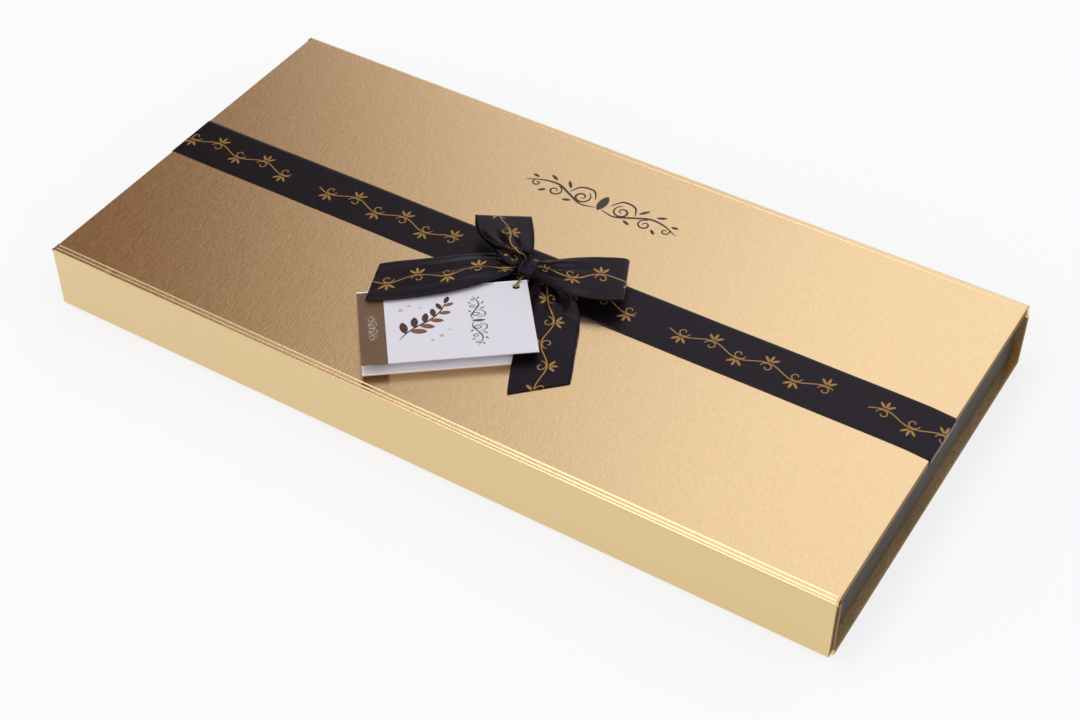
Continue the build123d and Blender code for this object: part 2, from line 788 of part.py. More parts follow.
def leaf(rise, start, low):
    """Outline of one leaf with its punched hole, on a plane that rises from the fold by an angle."""
    normal = Vector(0, 0, cos(radians(rise))) - leaf_way * sin(radians(rise))
    with BuildSketch(Plane(fold_place, x_dir=fold_axis, z_dir=normal).offset(low)) as card:
        with Locations((-tag_length / 2, -(start + tag_width) / 2)):
            Rectangle(tag_length, tag_width - start)
        with Locations(hole_place):
            Circle(hole_diameter / 2, mode=Mode.SUBTRACT)
    return card.sketch


back_leaf = leaf(-back_leaf_angle, 0, -roll_radius)
with BuildPart() as tag_back_leaf:
    add(back_leaf)
    extrude(amount=leaf_thickness)
    with BuildSketch(Plane(fold_place - fold_axis * tag_length, z_dir=fold_axis)):
        Circle(roll_radius)
    extrude(amount=tag_length)
keep(tag_back_leaf, "tag_back_leaf")

front_leaf = leaf(front_leaf_angle, roll_radius + leaf_clearance, leaf_gap / 2)
with BuildPart() as tag_front_leaf:
    add(front_leaf)
    extrude(amount=leaf_thickness)
keep(tag_front_leaf, "tag_front_leaf")
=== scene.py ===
import json
import math

import bmesh
import bpy
import numpy as np
from mathutils import Matrix, Vector


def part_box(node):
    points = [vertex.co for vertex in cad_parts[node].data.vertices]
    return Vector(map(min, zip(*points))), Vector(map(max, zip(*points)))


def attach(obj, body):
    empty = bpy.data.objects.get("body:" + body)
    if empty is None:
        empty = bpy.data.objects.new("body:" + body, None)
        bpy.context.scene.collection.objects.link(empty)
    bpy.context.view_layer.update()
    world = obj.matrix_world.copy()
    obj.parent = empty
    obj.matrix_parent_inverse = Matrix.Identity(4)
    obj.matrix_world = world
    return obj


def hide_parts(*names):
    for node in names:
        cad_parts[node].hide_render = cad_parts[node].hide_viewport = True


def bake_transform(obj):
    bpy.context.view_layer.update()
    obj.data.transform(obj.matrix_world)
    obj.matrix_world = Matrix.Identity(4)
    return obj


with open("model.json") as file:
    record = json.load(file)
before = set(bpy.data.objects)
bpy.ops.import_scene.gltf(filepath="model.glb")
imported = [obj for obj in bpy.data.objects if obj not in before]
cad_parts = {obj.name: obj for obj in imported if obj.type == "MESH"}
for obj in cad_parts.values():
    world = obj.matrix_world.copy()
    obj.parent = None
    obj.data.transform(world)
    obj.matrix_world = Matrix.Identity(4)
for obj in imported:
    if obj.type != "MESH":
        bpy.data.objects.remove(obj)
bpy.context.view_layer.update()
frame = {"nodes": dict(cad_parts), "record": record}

MM = 0.001
UP = np.array([0.0, 0.0, 1.0])
CLOTH, PAPER = 0.3 * MM, 0.2 * MM  # thickness of the satin and of the hinge papers
LID_END = 175.8  # half the lid's length, in millimetres
TAG_TURN = math.radians(38.1)  # of the tag's fold
TAG_ORIGIN = (-26.15, -26.55, 32.0)  # point of the fold that the record's joint names, in millimetres


# Camera

CAMERA_AT = (0.3058, -0.4904, 0.5407)
CAMERA_TURN, CAMERA_RISE = math.radians(31.68), math.radians(43.96)
LENS, SENSOR = 64.05, 36


def add_camera():
    turn, rise = CAMERA_TURN, CAMERA_RISE
    back = Vector((math.sin(turn) * math.cos(rise), -math.cos(turn) * math.cos(rise), math.sin(rise)))
    right = (-back).cross(Vector((0, 0, 1))).normalized()
    up = right.cross(-back)
    data = bpy.data.cameras.new("camera")
    data.lens, data.sensor_width = LENS, SENSOR
    data.clip_start, data.clip_end = 0.05, 30
    camera = bpy.data.objects.new("camera", data)
    camera.matrix_world = Matrix.Translation(CAMERA_AT) @ Matrix(
        (right, up, back)
    ).transposed().to_4x4()
    bpy.context.scene.collection.objects.link(camera)
    bpy.context.scene.camera = camera


# Nodes

def put(tree, kind, inputs=(), out=0, **props):
    """Add a shader node with its inputs and give one of its outputs."""
    node = tree.nodes.new("ShaderNode" + kind)
    for key, value in props.items():
        setattr(node, key, value)
    for key, value in dict(inputs).items():
        if isinstance(value, Num):
            value = value.socket
        if isinstance(value, bpy.types.NodeSocket):
            tree.links.new(value, node.inputs[key])
        else:
            node.inputs[key].default_value = value
    return node.outputs[out]


class Num:
    """A number in a node tree, with the usual sums."""

    def __init__(self, tree, socket):
        self.tree, self.socket = tree, socket

    def do(self, operation, *others):
        return Num(self.tree, put(self.tree, "Math", enumerate((self, *others)), operation=operation))

    def __add__(self, other):
        return self.do("ADD", other)

    def __sub__(self, other):
        return self.do("SUBTRACT", other)

    def __mul__(self, other):
        return self.do("MULTIPLY", other)

    def __truediv__(self, other):
        return self.do("DIVIDE", other)

    def below(self, limit, soft):
        """1 where this is under the limit and 0 above it, with a soft edge."""
        return Num(self.tree, put(self.tree, "MapRange", {
            0: self, 1: limit - soft, 2: limit + soft, 3: 1.0, 4: 0.0}, interpolation_type="SMOOTHSTEP"))


def start(name):
    material = bpy.data.materials.new(name)
    material.use_nodes = True
    material.node_tree.nodes.clear()
    return material, material.node_tree


def place(tree):
    return put(tree, "TexCoord", out="Object")


def noise(tree, vector, size, detail=2.0, rough=0.5, **more):
    """Noise whose lumps are about so many millimetres."""
    return Num(tree, put(tree, "TexNoise", {
        "Vector": vector, "Scale": 1 / (size * MM), "Detail": detail, "Roughness": rough, **more}))


def mix(tree, share, a, b):
    return put(tree, "Mix", {0: share, 6: a, 7: b}, out=2, data_type="RGBA")


def colour(hexa):
    """Linear colour from its usual hexadecimal name."""
    parts = [int(hexa[i:i + 2], 16) / 255 for i in (0, 2, 4)]
    return (*[c / 12.92 if c <= 0.04045 else ((c + 0.055) / 1.055) ** 2.4 for c in parts], 1.0)


def bump(tree, height, strength, distance):
    return put(tree, "Bump", {"Strength": strength, "Distance": distance * MM, "Height": height})


def finish_material(material, tree, shader):
    output = tree.nodes.new("ShaderNodeOutputMaterial")
    tree.links.new(shader, output.inputs[0])
    return material


def principled(material, tree, inputs):
    return finish_material(material, tree, put(tree, "BsdfPrincipled", inputs))


# Materials

def gold_paper(name="gold_paper", grain_size=1.0, strength=0.42,
               light="EDC88C", dark="E3BA7D", upright="DDBE7B"):
    """Metallic paper: glossy on faces that look up or to the front, with a yellower painted tint for the
    light on upright faces; end faces get a matt brown painted shade.
    """
    material, tree = start(name)
    at = place(tree)
    drawn = put(tree, "Mapping", {"Vector": at, "Rotation": (0, 0, 0.25), "Scale": (1, 0.42, 1)})
    grain = noise(tree, drawn, grain_size, 3, 0.55, Distortion=0.8)
    pulp = noise(tree, at, 5.0, 2)
    mottle = noise(tree, at, 1.6, 3, 0.6)
    speckle = (grain + mottle - 1.0) * 1.2 + 0.5
    facing = put(tree, "SeparateXYZ", {0: put(tree, "NewGeometry", out=1)})
    # painted light: upright faces take the upright colour, a painted tint for the light they get
    painted_tint_share = Num(tree, facing.node.outputs[2]).do("ABSOLUTE").below(0.5, 0.3)
    base = mix(tree, painted_tint_share, mix(tree, speckle, colour(dark), colour(light)), colour(upright))
    hills = bump(tree, grain + pulp * 0.6, strength, 0.12)
    sheen = put(tree, "BsdfPrincipled", {
        "Base Color": base, "Metallic": 1.0, "Roughness": pulp * 0.05 + mottle * 0.07 + 0.19,
        "Coat Weight": 1.0, "Coat IOR": 1.9, "Coat Roughness": 0.24, "Normal": hills})
    # painted shade: the faces that look along x get this matt brown shader in place of the gloss
    edge = put(tree, "BsdfPrincipled", {
        "Base Color": mix(tree, grain, colour("8C6A3A"), colour("745429")), "Metallic": 0.7,
        "Roughness": mottle * 0.1 + 0.5, "Specular IOR Level": 0.2, "Normal": hills})
    # share of the painted end shade: 1 on faces whose normal runs along x
    turned = Num(tree, 1.0) - Num(tree, facing).do("ABSOLUTE").below(0.75, 0.15)
    return finish_material(material, tree, put(tree, "MixShader", {0: turned, 1: sheen, 2: edge}))


def black_paper():
    material, tree = start("black_paper")
    at = place(tree)
    grain = noise(tree, at, 0.5, 3, 0.6)
    cloud = noise(tree, at, 9.0, 2)
    return principled(material, tree, {
        "Base Color": mix(tree, cloud, colour("1D1B1B"), colour("252323")),
        "Roughness": cloud * 0.1 + 0.50, "Specular IOR Level": 0.22,
        "Normal": bump(tree, grain, 0.3, 0.05)})


def greyboard():
    material, tree = start("greyboard")
    at = place(tree)
    fibre = noise(tree, at, 0.7, 4, 0.7)
    layer = Num(tree, put(tree, "TexWave", {"Vector": at, "Scale": 900.0, "Distortion": 3.0}, out=1))
    return principled(material, tree, {
        "Base Color": mix(tree, fibre * 0.7 + layer * 0.3, colour("8E8474"), colour("A79C89")),
        "Roughness": 0.9, "Normal": bump(tree, fibre + layer, 0.5, 0.08)})


def steel(name, tint):
    material, tree = start(name)
    at = place(tree)
    streak = noise(tree, put(tree, "Mapping", {"Vector": at, "Scale": (1, 1, 12)}), 2.0, 3)
    return principled(material, tree, {
        "Base Color": mix(tree, streak, colour(tint), colour("C9CACC")), "Metallic": 1.0,
        "Roughness": streak * 0.15 + 0.25, "Normal": bump(tree, streak, 0.15, 0.03)})


def film():
    material, tree = start("insert_film")
    at = place(tree)
    wave = noise(tree, at, 7.0, 2)
    fleck = noise(tree, at, 0.25, 2)
    return principled(material, tree, {
        "Base Color": mix(tree, wave, colour("8A5F2C"), colour("A87A3C")), "Metallic": 0.75,
        "Roughness": fleck * 0.08 + 0.2, "Coat Weight": 0.7, "Coat Roughness": 0.08,
        "Normal": bump(tree, wave, 0.3, 0.15)})


def chocolate(name, light, dark, rough):
    material, tree = start(name)
    at = place(tree)
    cloud = noise(tree, at, 6.0, 3)
    pore = noise(tree, at, 0.5, 3, 0.6)
    return principled(material, tree, {
        "Base Color": mix(tree, cloud, colour(light), colour(dark)),
        "Roughness": pore * 0.12 + rough, "Coat Weight": 0.25, "Coat Roughness": 0.25,
        "Subsurface Weight": 0.06, "Subsurface Radius": (0.004, 0.002, 0.001), "Subsurface Scale": 0.3,
        "Normal": bump(tree, cloud * 0.7 + pore * 0.3, 0.25, 0.15)})


VINE_WAVE = 24.0  # length of one wave of the stem, in millimetres
VINE_REPEAT, VINE_RUN = 84.0, 69.0  # length of a run with the gap after it, and of the run alone


def vine(u, v):
    """Mask of a scrolling vine along a ribbon; u runs along it and v across it, in millimetres."""
    swing = (u * (2 * math.pi / VINE_WAVE)).do("SINE")
    stem = (v - swing * 1.9).do("ABSOLUTE").below(0.30, 0.12)
    side = swing.do("SIGN")
    along = u.do("FLOORED_MODULO", VINE_WAVE / 2) - VINE_WAVE / 4
    over = v * side
    curl_y = over + 0.7
    reach = (along * along + curl_y * curl_y).do("SQRT")
    angle = (curl_y.do("ARCTAN2", along * side) + math.pi)
    spiral = (reach - angle * 0.36 - 0.5).do("ABSOLUTE").below(0.26, 0.10)
    mask = stem.do("MAXIMUM", spiral * reach.below(2.8, 0.1))
    for lean, out, shift in ((0.75, 3.9, 1.7), (-0.75, 3.9, -1.7), (math.pi / 2, 4.6, 0.0)):
        x, y = along - shift, over - out
        far = x * math.cos(lean) + y * math.sin(lean)
        wide = y * math.cos(lean) - x * math.sin(lean)
        leaf = (far * far * 0.32 + wide * wide * 3.2).below(1.0, 0.25)
        mask = mask.do("MAXIMUM", leaf)
    return mask * u.do("FLOORED_MODULO", VINE_REPEAT).below(VINE_RUN, 0.6)


def ribbon_satin(name, vined=True):
    material, tree = start(name)
    uv = put(tree, "SeparateXYZ", {0: put(tree, "UVMap", uv_map="ribbon")})
    u = Num(tree, uv) * 1000.0
    v = Num(tree, uv.node.outputs[1]) * 1000.0
    at = place(tree)
    cloud = noise(tree, at, 4.0, 3)
    weave = (u * 21.0).do("SINE") * 0.5 + (v * 9.0 + u * 3.0).do("SINE")
    selvedge = v.do("ABSOLUTE").below(11.6, 0.15) * -1.0 + 1.0
    cloth = mix(tree, cloud, colour("070406"), colour("0D080C"))
    cloth = mix(tree, selvedge * 0.6, cloth, colour("060406"))
    relief = weave * 0.15 + cloud + noise(tree, at, 1.4, 2) * 0.7 + selvedge * 1.5
    satin = put(tree, "BsdfPrincipled", {
        "Base Color": cloth, "Roughness": cloud * 0.08 + 0.26, "Specular IOR Level": 0.20,
        "Specular Tint": (1.0, 0.78, 0.98, 1.0), "Sheen Weight": 0.02, "Sheen Roughness": 0.4,
        "Sheen Tint": (0.75, 0.7, 0.85, 1.0), "Normal": bump(tree, relief, 0.45, 0.10)})
    if not vined:
        return finish_material(material, tree, satin)
    foil = put(tree, "BsdfPrincipled", {
        "Base Color": mix(tree, noise(tree, at, 0.8, 3), colour("B48A4A"), colour("8F6A35")),
        "Metallic": 0.6, "Roughness": 0.45,
        "Normal": bump(tree, weave, 0.2, 0.05)})
    both = put(tree, "MixShader", {0: vine(u, v), 1: satin, 2: foil})
    return finish_material(material, tree, both)


def tag_card(name="tag_card", light="DEDBE0", dark="CFCBD6", banded=True):
    """Card with a fine zigzag and, on the outside, a brown band along one end."""
    material, tree = start(name)
    at = put(tree, "Mapping", {
        "Vector": place(tree), "Location": (TAG_ORIGIN[0] * MM, TAG_ORIGIN[1] * MM, 0.0),
        "Rotation": (0, 0, TAG_TURN)}, vector_type="TEXTURE")
    split = put(tree, "SeparateXYZ", {0: at})
    x = Num(tree, split) * 1000.0
    y = Num(tree, split.node.outputs[1]) * 1000.0
    tooth = (x * 0.9).do("PINGPONG", 1.0)
    zigzag = (y * 0.75 + tooth * 0.9).do("FLOORED_MODULO", 1.0).below(0.28, 0.08)
    fine = noise(tree, at, 0.4, 3, 0.6)
    cloud = noise(tree, at, 12.0, 2)
    card = mix(tree, zigzag * 0.5, colour(light), colour(dark))
    if banded:
        brown = mix(tree, cloud, colour("6C5135"), colour("60462B"))
        card = mix(tree, (x + 23.6).below(0.0, 0.05), card, brown)
    return principled(material, tree, {
        "Base Color": card, "Roughness": cloud * 0.08 + 0.42,
        "Coat Weight": 0.1, "Coat Roughness": 0.3,
        "Normal": bump(tree, fine, 0.12, 0.04)})


def ink(name, light, dark, rough=0.4):
    material, tree = start(name)
    at = place(tree)
    cloud = noise(tree, at, 1.5, 3)
    return principled(material, tree, {
        "Base Color": mix(tree, cloud, colour(light), colour(dark)), "Roughness": cloud * 0.1 + rough,
        "Normal": bump(tree, noise(tree, at, 0.4, 2), 0.1, 0.03)})


def thread():
    material, tree = start("cord_thread")
    at = place(tree)
    twist = Num(tree, put(tree, "TexWave", {
        "Vector": put(tree, "Mapping", {"Vector": at, "Rotation": (0.3, 0.2, 0.6)}),
        "Scale": 420.0, "Distortion": 0.4}, out=1))
    return principled(material, tree, {
        "Base Color": mix(tree, twist, colour("C8962E"), colour("6B4A12")),
        "Metallic": 0.8, "Roughness": 0.35, "Normal": bump(tree, twist, 0.7, 0.15)})


def floor_material():
    material, tree = start("floor")
    rays = put(tree, "LightPath").node.outputs
    to_eye = Num(tree, rays["Is Camera Ray"]).do("MAXIMUM", Num(tree, rays["Is Transmission Ray"]))
    to_eye = to_eye.do("MAXIMUM", Num(tree, rays["Is Glossy Ray"]))
    cloud = noise(tree, place(tree), 400.0, 2)
    matt = put(tree, "BsdfDiffuse", {"Color": mix(tree, cloud, (0.86, 0.86, 0.86, 1), (0.9, 0.9, 0.9, 1))})
    white = put(tree, "Emission", {"Color": (1, 1, 1, 1), "Strength": 1.0})
    return finish_material(material, tree, put(tree, "MixShader", {0: to_eye * 0.72, 1: matt, 2: white}))


# Meshes

def piece(name, points, faces, material, body, smooth=True):
    mesh = bpy.data.meshes.new(name)
    mesh.from_pydata([tuple(p) for p in points], [], faces)
    mesh.polygons.foreach_set("use_smooth", [smooth] * len(mesh.polygons))
    mesh.materials.append(material)
    made = bpy.data.objects.new(name, mesh)
    bpy.context.scene.collection.objects.link(made)
    if body:
        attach(made, body)
    return made


def rim_of(rows, columns):
    """Indices of the outer points of a grid, once round it."""
    rim = [i * columns for i in range(rows)] + [(rows - 1) * columns + j for j in range(1, columns)]
    rim += [i * columns + columns - 1 for i in range(rows - 2, -1, -1)]
    return rim + list(range(columns - 2, 0, -1))


def run(line):
    """Length of a line up to each of its points."""
    return np.concatenate([[0], np.cumsum(np.linalg.norm(np.diff(line, axis=0), axis=1))])


def ease(x):
    """A soft step from 0 to 1."""
    return x**2 * (3 - 2 * x)


def sheet_mesh(name, grid, thick, material, body, uv=None, closed=False):
    """A thin closed sheet round a grid of points, rows along it and columns across it."""
    rows, columns = grid.shape[:2]
    along = np.gradient(grid, axis=0)
    if closed:
        along[0] = along[-1] = grid[1] - grid[-2]
    normal = np.cross(along, np.gradient(grid, axis=1))
    normal /= np.linalg.norm(normal, axis=2, keepdims=True) + 1e-12
    points = np.concatenate([(grid + normal * thick / 2).reshape(-1, 3),
                             (grid - normal * thick / 2).reshape(-1, 3)])
    low = rows * columns
    faces = []
    for i in range(rows - 1):
        for j in range(columns - 1):
            a, b = i * columns + j, (i + 1) * columns + j
            c, d = b + 1, a + 1
            faces += [(a, b, c, d), (low + d, low + c, low + b, low + a)]
    rim = rim_of(rows, columns)
    for a, b in zip(rim, rim[1:] + rim[:1]):
        faces.append((b, a, low + a, low + b))
    made = piece(name, points, faces, material, body)
    if uv is not None:
        both = np.concatenate([uv.reshape(-1, 2)] * 2)
        layer = made.data.uv_layers.new(name="ribbon")
        corners = np.zeros(len(made.data.loops), int)
        made.data.loops.foreach_get("vertex_index", corners)
        layer.data.foreach_set("uv", both[corners].ravel())
    return made


def smooth_rows(rows, places, count):
    """Rows of numbers read off at so many even steps along a smooth line through their places."""
    rows, places = np.asarray(rows, float), np.asarray(places, float)
    gaps = np.sqrt(np.linalg.norm(np.diff(places, axis=0), axis=1))
    knots = np.concatenate([[0], np.cumsum(gaps)])
    slopes = np.gradient(rows, knots, axis=0)
    t = np.linspace(0, knots[-1], count)
    i = np.clip(np.searchsorted(knots, t, side="right") - 1, 0, len(rows) - 2)
    h = (knots[i + 1] - knots[i])[:, None]
    f = (t - knots[i])[:, None] / h
    return ((2 * f**3 - 3 * f**2 + 1) * rows[i] + (f**3 - 2 * f**2 + f) * h * slopes[i]
            + (3 * f**2 - 2 * f**3) * rows[i + 1] + (f**3 - f**2) * h * slopes[i + 1])


def even(rows, columns, count):
    """The rows again, spaced evenly by the length of the line in their first three columns."""
    steps = run(rows[:, :3])
    at = np.linspace(0, steps[-1], count)
    return np.stack([np.interp(at, steps, rows[:, k]) for k in range(columns)], axis=1), steps[-1]


# Bow ribbons

KNOT = np.array([-2.2, 0.0, 30.0])
RIBBON_WIDTH = 25.0
ROWS, COLUMNS = 120, 41
FINE_STEPS = 900  # along a ribbon, before its rows are spaced evenly


def ribbon_grid(heading, reach, rise, shares, creases, crown):
    """Points of a ribbon through its rungs, with creases that run from the knot and a crowned middle.

    A rung is (along, aside, up, width, turn, tilt): shares of the reach, the rise and the ribbon's width,
    then degrees. A crease is (place at its start, at its end, width, depth, begin, end) and a crown is
    (height, begin, end), with places across as -1 to 1 and along as 0 to 1, and depths in millimetres.
    """
    turned = math.radians(heading)
    forward = np.array([math.cos(turned), math.sin(turned), 0.0])
    left = np.array([-forward[1], forward[0], 0.0])
    shares = np.array(shares, float)
    centres = (KNOT + forward * (shares[:, :1] * reach) + left * (shares[:, 1:2] * reach)
               + UP * (shares[:, 2:3] * rise))
    rows = smooth_rows(np.hstack([centres, shares[:, 3:]]), centres, FINE_STEPS)
    rows, length = even(rows, 6, ROWS)
    centres, width, turn, tilt = rows[:, :3], rows[:, 3], np.radians(rows[:, 4]), np.radians(rows[:, 5])
    across = left[None] * np.cos(turn)[:, None] - forward[None] * np.sin(turn)[:, None]
    across = across * np.cos(tilt)[:, None] + UP[None] * np.sin(tilt)[:, None]
    tangent = np.gradient(centres, axis=0)
    normal = np.cross(tangent, across)
    normal /= np.linalg.norm(normal, axis=1, keepdims=True)
    s = np.linspace(-1, 1, COLUMNS)[None]
    t = np.linspace(0, 1, ROWS)[:, None]
    offset = np.zeros((ROWS, COLUMNS))
    for start_s, end_s, wide, deep, begin, end in creases:
        middle = start_s + (end_s - start_s) * np.clip((t - begin) / (end - begin), 0, 1)
        inside = np.clip((t - begin) / 0.04, 0, 1) * np.clip((end - t) / (end - begin), 0, 1)
        spread = wide * (0.6 + 0.9 * np.abs(t - begin))
        offset += deep * ease(inside) * np.exp(-(((s - middle) / spread) ** 2))
    pleats = 2.6 * math.pi
    spare = np.clip(0.92 / width, 1, 4)[:, None]
    ripple = 0.30 * (width[:, None] * RIBBON_WIDTH / 2) / pleats * np.sqrt(2 * (spare**2 - 1))
    offset += ripple * np.sin(pleats * s + 0.8 + 1.3 * np.sin(2.1 * s))
    for high, begin, end in crown:
        inside = np.clip(1 - np.abs(t - (begin + end) / 2) / ((end - begin) / 2), 0, 1)
        offset += high * (1 - s**2) * ease(inside)
    grid = centres[:, None] + across[:, None] * (s * width[:, None] * RIBBON_WIDTH / 2)[..., None]
    grid += normal[:, None] * offset[..., None]
    uv = np.stack([np.broadcast_to(t * length, (ROWS, COLUMNS)),
                   np.broadcast_to(s * RIBBON_WIDTH / 2, (ROWS, COLUMNS))], axis=2)
    return grid * MM, uv * MM, length * MM


def add_bow():
    loop_left = (
        (0.060, 0.000, 0.58, 0.20, -20, 0),
        (0.149, 0.000, 0.78, 0.30, -24, 0),
        (0.209, 0.053, 0.90, 0.48, -30, 0),
        (0.301, 0.103, 0.98, 0.66, -33, 0),
        (0.420, 0.122, 1.00, 0.82, -33, 0),
        (0.603, 0.096, 1.00, 0.91, -29, 0),
        (0.860, 0.030, 0.97, 0.92, -25, 0),
        (0.982, 0.004, 0.92, 0.92, -22, 1),
        (1.000, 0.000, 0.85, 0.92, -22, 3),
        (0.985, 0.004, 0.77, 0.92, -22, 5),
        (0.800, 0.075, 0.70, 0.92, -24, 9),
        (0.560, 0.125, 0.66, 0.88, -28, 11),
        (0.350, 0.145, 0.64, 0.76, -31, 12),
        (0.200, 0.125, 0.58, 0.54, -18, 8),
        (0.080, 0.080, 0.52, 0.30, 0, 0),
    )
    loop_right = (
        (0.060, -0.030, 0.60, 0.30, -2, 0),
        (0.140, -0.068, 0.78, 0.40, 6, 3),
        (0.264, -0.118, 0.92, 0.54, 13, 5),
        (0.428, -0.136, 1.00, 0.74, 18, 5),
        (0.618, -0.116, 1.00, 0.88, 19, 5),
        (0.818, -0.072, 0.97, 0.94, 16, 4),
        (0.980, -0.022, 0.90, 0.94, 9, 2),
        (1.000, -0.016, 0.82, 0.94, 8, 0),
        (0.988, -0.020, 0.74, 0.94, 8, -2),
        (0.818, -0.066, 0.68, 0.94, 16, -5),
        (0.618, -0.110, 0.66, 0.88, 19, -6),
        (0.428, -0.132, 0.64, 0.74, 18, -7),
        (0.264, -0.116, 0.60, 0.54, 13, -6),
        (0.140, -0.070, 0.55, 0.40, 6, -3),
        (0.060, -0.030, 0.50, 0.26, -2, 0),
    )
    tail_left = (
        (0.045, -0.030, 0.50, 0.20, -32, 0),
        (0.107, -0.030, 0.70, 0.40, -25, 0),
        (0.265, -0.022, 1.00, 0.74, -20, 0),
        (0.571, 0.002, 1.05, 0.87, -6, 0),
        (0.850, 0.004, 1.00, 0.91, -8, 0),
        (1.000, 0.000, 1.00, 0.90, -20, 0),
    )
    tail_right = (
        (0.025, 0.050, 0.50, 0.22, 63, 0),
        (0.113, 0.070, 0.70, 0.34, 20, 4),
        (0.189, 0.100, 0.94, 0.52, -15, 8),
        (0.293, 0.118, 1.00, 0.80, -20, 8),
        (0.426, 0.102, 0.54, 0.94, -10, 1),
        (0.720, 0.050, 0.33, 0.94, -10, 0),
        (0.980, 0.004, 0.15, 0.98, 10, 0),
    )
    satin = ribbon_satin("ribbon_satin")
    plans = (  # name, heading in degrees, reach and rise in millimetres, rungs, creases, crown, held
        ("bow_loop_left", 142.6, 29.3, 8.8, loop_left,
         ((0.25, -0.15, 0.16, 0.9, 0.0, 0.42), (-0.35, -0.7, 0.15, -0.5, 0.0, 0.35),
          (0.75, 0.5, 0.16, 0.5, 0.0, 0.3), (0.1, 0.1, 0.2, 0.5, 0.72, 1.0)),
         ((0.5, 0.0, 0.45),), "gathered"),
        ("bow_loop_right", 16.1, 40.4, 8.4, loop_right,
         ((-0.6, -0.75, 0.14, 0.8, 0.0, 0.34), (-0.1, -0.35, 0.16, 0.7, 0.0, 0.40),
          (0.45, 0.3, 0.2, 0.5, 0.0, 0.3), (0.8, 0.7, 0.14, -0.4, 0.0, 0.25),
          (0.0, 0.0, 0.25, 0.5, 0.72, 1.0)),
         ((0.5, 0.0, 0.5),), "gathered"),
        ("bow_tail_left", 220.4, 62.6, 4.4, tail_left,
         ((0.35, 0.55, 0.14, 0.7, 0.0, 0.5), (-0.3, -0.2, 0.2, 0.5, 0.0, 0.35),
          (-0.85, -0.9, 0.12, 0.5, 0.05, 0.45)),
         ((0.5, 0.1, 0.7),), "laid"),
        ("bow_tail_right", -55.0, 66.8, 3.4, tail_right,
         ((0.75, 0.95, 0.16, 1.5, 0.05, 0.55), (-0.4, -0.6, 0.2, 0.5, 0.0, 0.4),
          (0.2, 0.5, 0.2, -1.3, 0.05, 0.5)),
         ((0.4, 0.2, 0.9),), "laid"),
    )
    made = {}
    for name, heading, reach, rise, shares, creases, crown, held in plans:
        grid, uv, length = ribbon_grid(heading, reach, rise, shares, creases, crown)
        ribbon = sheet_mesh(name + "_cloth", grid, CLOTH, satin, "lid", uv)
        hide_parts(name)
        made[name] = ribbon, length, held
    knot = add_knot()
    for name, (ribbon, length, held) in made.items():
        [knot] if name == "bow_loop_left" else []


def add_knot():
    """The turn of ribbon round the middle of the bow, folded along its length and nipped at its ends."""
    turned = math.radians(8.0)
    axis = np.array([math.cos(turned), math.sin(turned), 0.0])
    side = np.array([axis[1], -axis[0], 0.0])
    middle = np.array([-1.1, -0.35, 33.45])
    half_long, half_wide, half_high, power = 4.1, 4.5, 3.1, 0.72
    around, along = 72, 41
    grid = np.zeros((around, along, 3))
    for i in range(around):
        a = 2 * math.pi * i / (around - 1)
        c, s = math.cos(a), math.sin(a)
        for j in range(along):
            x = 2 * j / (along - 1) - 1
            bulge = 1 - 0.13 * abs(x) ** 3.0
            fold = 0.08 * math.cos(x * 6.5 + 0.7 * math.sin(a))
            fold += 0.04 * math.cos(x * 14 + 1.3 * math.sin(a + 1))
            fold -= 0.30 * math.exp(-((x - 0.66 - 0.08 * math.sin(2 * a)) / 0.07) ** 2)
            fold -= 0.18 * math.exp(-((x + 0.55 + 0.10 * math.sin(a + 0.6)) / 0.09) ** 2)
            wide = half_wide * bulge + fold
            high = half_high * bulge + fold
            grid[i, j] = (middle + axis * (x * half_long + 0.3 * math.sin(a * 2))
                          + side * (wide * abs(c) ** power * np.sign(c))
                          + UP * (high * abs(s) ** power * np.sign(s)))
    grid[-1] = grid[0]
    uv = np.zeros((around, along, 2))
    uv[..., 0] = np.linspace(0, 20, around)[:, None] * MM
    uv[..., 1] = np.linspace(-11, 11, along)[None] * MM
    plain = ribbon_satin("ribbon_satin_plain", vined=False)
    knot = sheet_mesh("bow_knot_cloth", grid * MM, CLOTH, plain, "lid", uv, closed=True)
    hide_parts("bow_knot")
    return knot


def add_band():
    """The ribbon glued round the lid, tucked under both ends."""
    slope = math.tan(math.radians(0.455))
    lid_x, top, under = LID_END, 30.15, 27.15
    bend, bend_z = 0.95, 29.2  # radius of the turn over the lid's edge, and where it begins
    tuck = [(-lid_x + 12.0, under), (-lid_x - 0.02, under), (-lid_x - 0.15, under + 0.2),
            (-lid_x - 0.15, bend_z)]
    tuck += [(-lid_x + 0.8 - bend * math.sin(a), bend_z + bend * math.cos(a))
             for a in np.linspace(math.pi / 2, 0, 7)[1:]]
    middle = [(x, top) for x in np.linspace(-lid_x + 2, lid_x - 2, 150)]
    line = np.array(tuck + middle + [(-x, z) for x, z in reversed(tuck)])
    steps = run(line)
    s = np.linspace(-1, 1, 21)
    grid = np.zeros((len(line), len(s), 3))
    grid[..., 0] = line[:, :1]
    ripple = 0.12 * np.sin(line[:, :1] / 17.0 + 1.0) + 0.08 * np.sin(line[:, :1] / 7.3)
    pull = -0.8 * np.exp(-((line[:, :1] - lid_x) / 7) ** 2)
    across = s[None] * (RIBBON_WIDTH / 2 + 0.05 * ripple)
    grid[..., 1] = 1.66 + slope * line[:, :1] + across + ripple * 0.4 + pull
    grid[..., 2] = line[:, 1:]
    uv = np.zeros((len(line), len(s), 2))
    uv[..., 0] = steps[:, None] * MM
    uv[..., 1] = s[None] * RIBBON_WIDTH / 2 * MM
    satin = ribbon_satin("ribbon_band_satin")
    band = sheet_mesh("ribbon_band_cloth", grid * MM, CLOTH, satin, "lid", uv)
    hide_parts("ribbon_band")


# Tag cord

